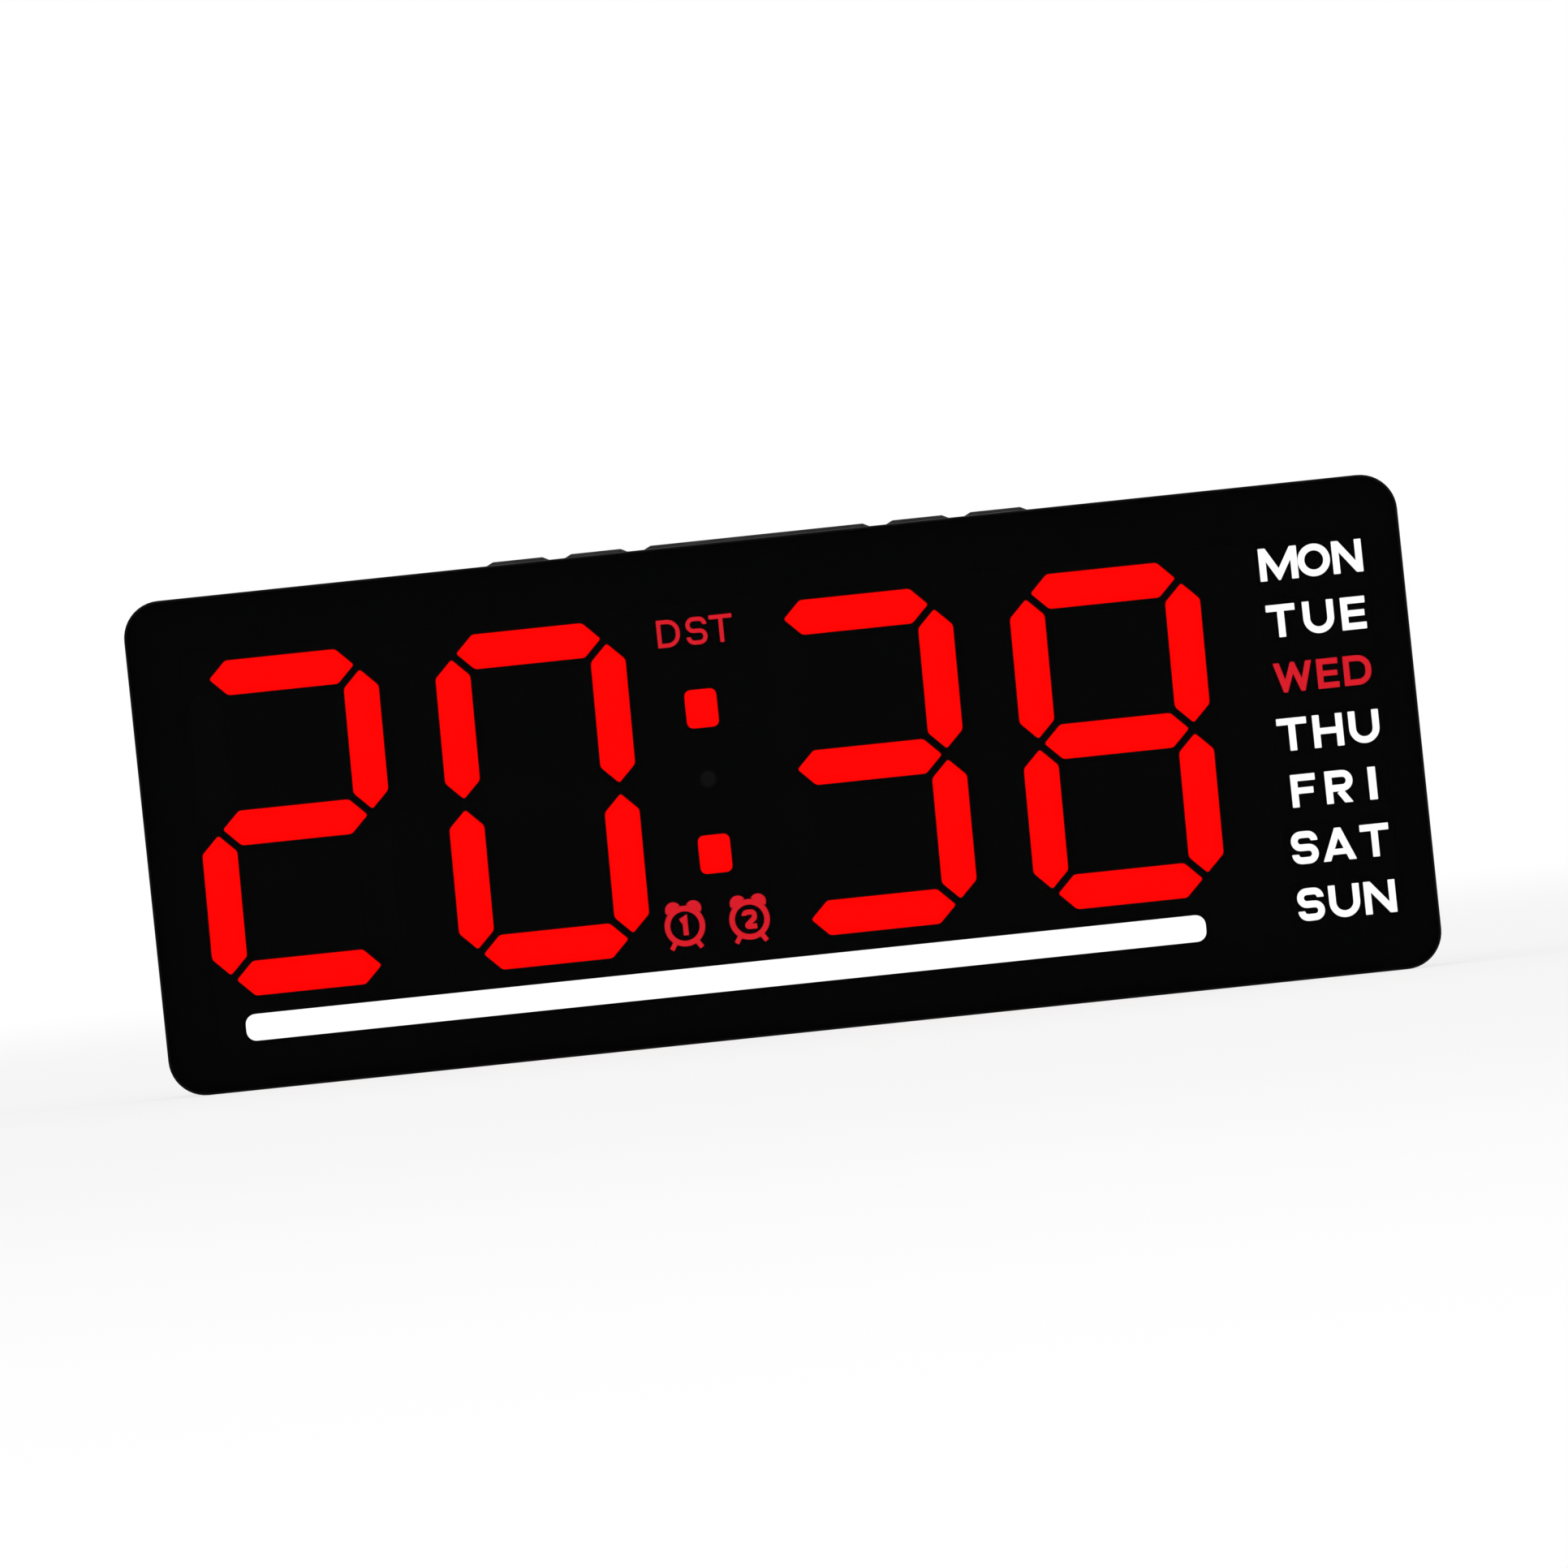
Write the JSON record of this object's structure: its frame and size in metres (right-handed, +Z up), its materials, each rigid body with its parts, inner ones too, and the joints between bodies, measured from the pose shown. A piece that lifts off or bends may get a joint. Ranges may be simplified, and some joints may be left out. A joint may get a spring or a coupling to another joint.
{
  "type": "digital desk clock",
  "caption": "Slim upright digital clock with a smoked full-face panel, large red segment digits, weekday marks, a white light bar, top keys and fold-out legs.",
  "frame": {"origin": "middle of the case's flat bottom, on the desk, halfway between front and back", "axes": "+X to the right as seen from the front, +Y from the front panel to the back, +Z up"},
  "size_m": [0.24, 0.0753, 0.094],
  "materials": {
    "smoked_acrylic": "polished smoked acrylic, see-through",
    "adhesive_tape": "thin foam tape",
    "case_black": "fine moulded texture",
    "reflector_black": "matt moulded",
    "segment_red_lit": "translucent, lit from behind",
    "segment_unlit": "translucent, smoked, dark when off",
    "mark_diffuser": "translucent tile behind a printed mask",
    "bar_white": "frosted, lit from behind",
    "board_green": "solder-masked circuit board",
    "lamp_package": "moulded lamp package",
    "chip_black": "moulded chip package",
    "can_metal": "drawn can",
    "buzzer_black": "moulded",
    "clear_pipe": "clear moulded",
    "key_black": "satin moulded",
    "switch_body": "moulded",
    "plunger_brown": "moulded",
    "inlet_steel": "nickel-plated",
    "contact_brass": "plated spring strip",
    "cell_steel": "pressed steel",
    "screw_steel": "black zinc",
    "pad_rubber": "soft moulded"
  },
  "bodies": {
    "clock_case": {"front_lens": "smoked_acrylic", "lens_tape": "adhesive_tape", "front_housing": "case_black", "digit_reflector": "reflector_black", "digit_1_lit": "segment_red_lit", "digit_1_dark": "segment_unlit", "digit_2_lit": "segment_red_lit", "digit_2_dark": "segment_unlit", "digit_3_lit": "segment_red_lit", "digit_3_dark": "segment_unlit", "digit_4_lit": "segment_red_lit", "colon_dots": "segment_red_lit", "indicator_tiles": "mark_diffuser", "weekday_tiles": "mark_diffuser", "light_bar": "bar_white", "led_board": "board_green", "led_chips": "lamp_package", "controller_chip": "chip_black", "driver_chips": "chip_black", "crystal": "can_metal", "capacitors": "can_metal", "buzzer": "buzzer_black", "light_sensor": "chip_black", "sensor_pipe": "clear_pipe", "button_board": "board_green", "button_header": "chip_black", "tact_switches": "switch_body", "inlet_board": "board_green", "power_inlet": "inlet_steel", "inlet_tongue": "chip_black", "rear_cover": "case_black", "cell_contacts": "contact_brass", "backup_cell": "cell_steel", "cover_screws": "screw_steel", "board_screws": "screw_steel", "reflector_screws": "screw_steel"},
    "alarm_button": {"alarm_key": "key_black", "alarm_plunger": "plunger_brown"},
    "set_button": {"set_key": "key_black", "set_plunger": "plunger_brown"},
    "snooze_button": {"snooze_bar": "key_black", "snooze_plunger": "plunger_brown"},
    "down_button": {"down_key": "key_black", "down_plunger": "plunger_brown"},
    "up_button": {"up_key": "key_black", "up_plunger": "plunger_brown"},
    "left_stand": {"left_leg": "case_black", "left_leg_pad": "pad_rubber"},
    "right_stand": {"right_leg": "case_black", "right_leg_pad": "pad_rubber"},
    "cell_hatch": {"cell_door": "case_black", "door_screw": "screw_steel"}
  },
  "joints": [
    {"name": "alarm_press", "type": "slide", "parent": "clock_case", "child": "alarm_button", "axis": [0, 0, -1], "range_m": [0, 0.0004], "stiffness_N_per_m": 4000, "springref_m": -0.0002},
    {"name": "set_press", "type": "slide", "parent": "clock_case", "child": "set_button", "axis": [0, 0, -1], "range_m": [0, 0.0004], "stiffness_N_per_m": 4000, "springref_m": -0.0002},
    {"name": "snooze_press", "type": "slide", "parent": "clock_case", "child": "snooze_button", "axis": [0, 0, -1], "range_m": [0, 0.0004], "stiffness_N_per_m": 4000, "springref_m": -0.0002},
    {"name": "down_press", "type": "slide", "parent": "clock_case", "child": "down_button", "axis": [0, 0, -1], "range_m": [0, 0.0004], "stiffness_N_per_m": 4000, "springref_m": -0.0002},
    {"name": "up_press", "type": "slide", "parent": "clock_case", "child": "up_button", "axis": [0, 0, -1], "range_m": [0, 0.0004], "stiffness_N_per_m": 4000, "springref_m": -0.0002},
    {"name": "left_leg_fold", "type": "hinge", "parent": "clock_case", "child": "left_stand", "pos_m": [-0.088, 0.01125, 0.00275], "axis": [1, 0, 0], "range_deg": [0, 90]},
    {"name": "right_leg_fold", "type": "hinge", "parent": "clock_case", "child": "right_stand", "pos_m": [0.088, 0.01125, 0.00275], "axis": [1, 0, 0], "range_deg": [0, 90]},
    {"name": "cell_door_lift", "type": "slide", "parent": "clock_case", "child": "cell_hatch", "axis": [0, 1, 0], "range_m": [0, 0.015]}
  ]
}
